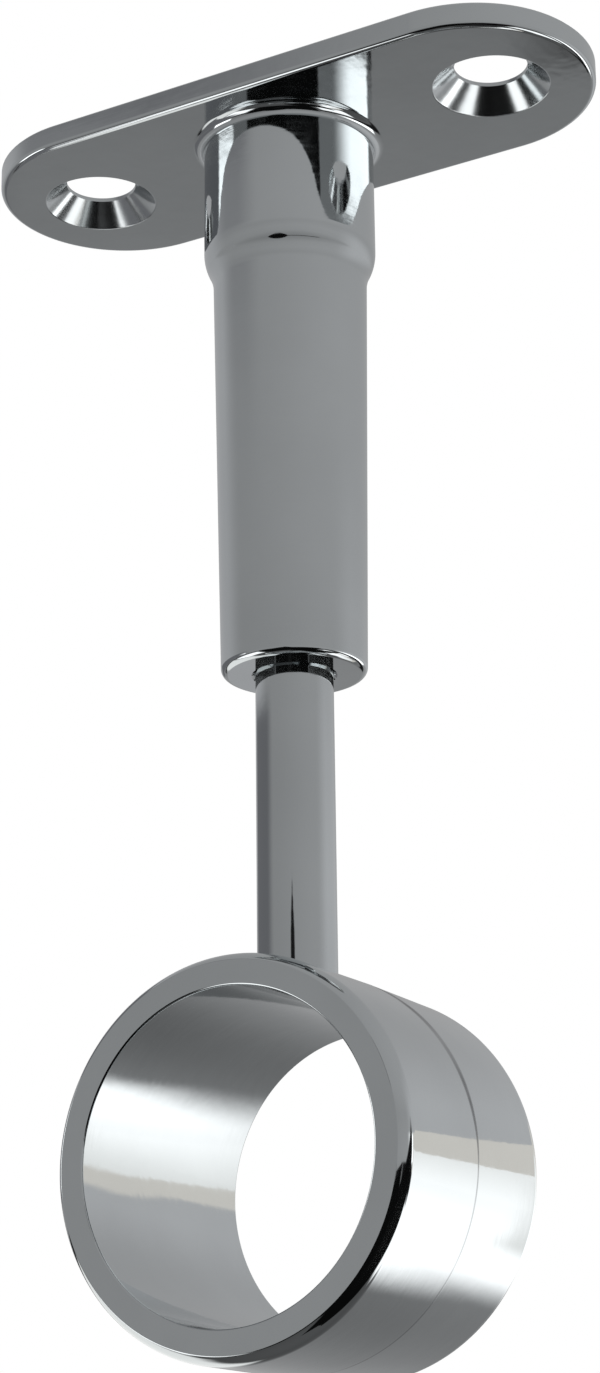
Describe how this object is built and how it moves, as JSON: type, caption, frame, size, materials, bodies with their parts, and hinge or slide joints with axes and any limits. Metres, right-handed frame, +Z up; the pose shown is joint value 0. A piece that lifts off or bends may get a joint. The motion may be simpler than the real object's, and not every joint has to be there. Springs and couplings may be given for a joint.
{
  "type": "centre pole bracket",
  "caption": "Chromed ceiling bracket with an obround screw plate, a drafted sleeve and a round pole ring whose smooth stem slides in the sleeve to set the drop.",
  "frame": {"origin": "centre of the plate's upper face, which lies flat on the ceiling", "axes": "+X along the plate, +Y along the pole, +Z up into the ceiling"},
  "size_m": [0.0564, 0.0224, 0.1065],
  "materials": {
    "base_chrome": "polished chrome plate on a zinc casting",
    "ring_chrome": "polished chrome plate on a zinc casting",
    "screw_steel": "zinc plated steel"
  },
  "bodies": {
    "base": {"base_sleeve": "base_chrome", "grub_screw": "screw_steel"},
    "ring": {"pole_ring": "ring_chrome"}
  },
  "joints": [
    {"name": "drop_slide", "type": "slide", "parent": "base", "child": "ring", "axis": [0, 0, 1], "range_m": [-0.01, 0.014]}
  ]
}
